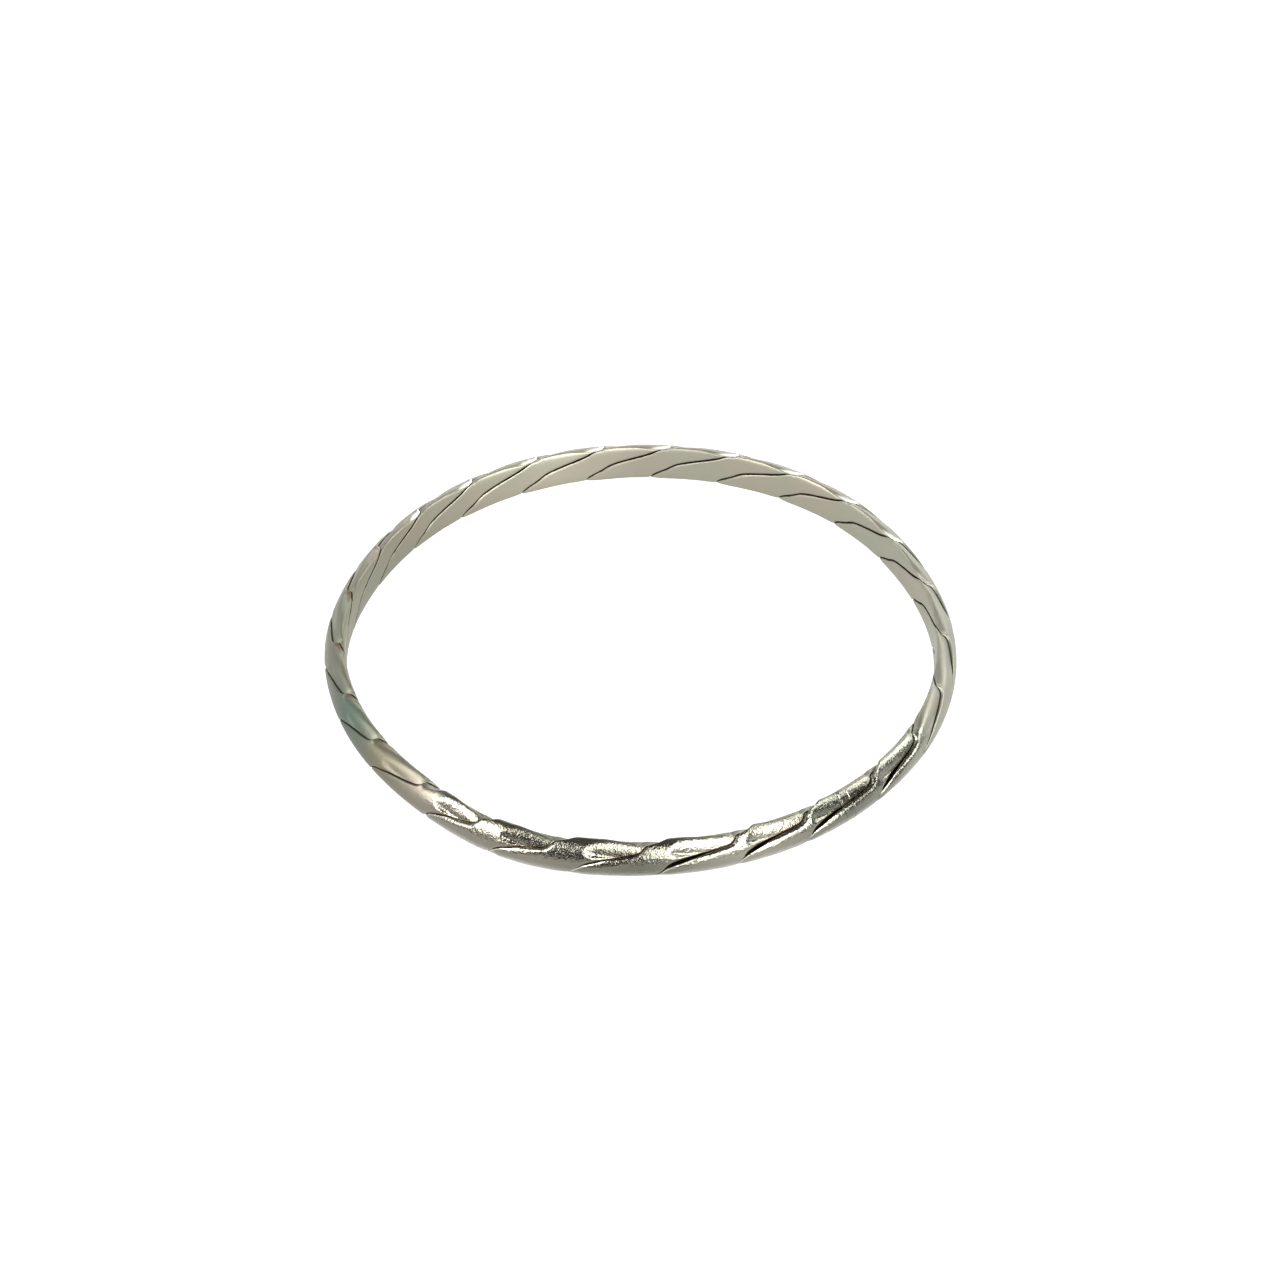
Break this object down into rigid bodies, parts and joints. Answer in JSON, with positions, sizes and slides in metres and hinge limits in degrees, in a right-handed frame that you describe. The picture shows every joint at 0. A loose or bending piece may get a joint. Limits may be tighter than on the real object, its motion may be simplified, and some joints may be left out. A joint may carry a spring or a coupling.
{
  "type": "twisted wire bangle",
  "caption": "Closed bangle of twisted silver wires, rolled to a flattened band with slanting seams and a scalloped edge.",
  "frame": {"origin": "centre of the ring at the surface that it lies on", "axes": "+Z along the ring's axis, upwards; -Y towards the viewer; the solder joint lies at azimuth 309 degrees from +X"},
  "size_m": [0.0686, 0.068, 0.0046],
  "materials": {
    "wire_silver": "satin sterling silver with dark tarnish in the seams",
    "solder_silver": "filed silver solder, slightly greyer than the wires"
  },
  "bodies": {
    "root": {"first_wire": "wire_silver", "second_wire": "wire_silver", "third_wire": "wire_silver", "solder_joint": "solder_silver"}
  },
  "joints": []
}
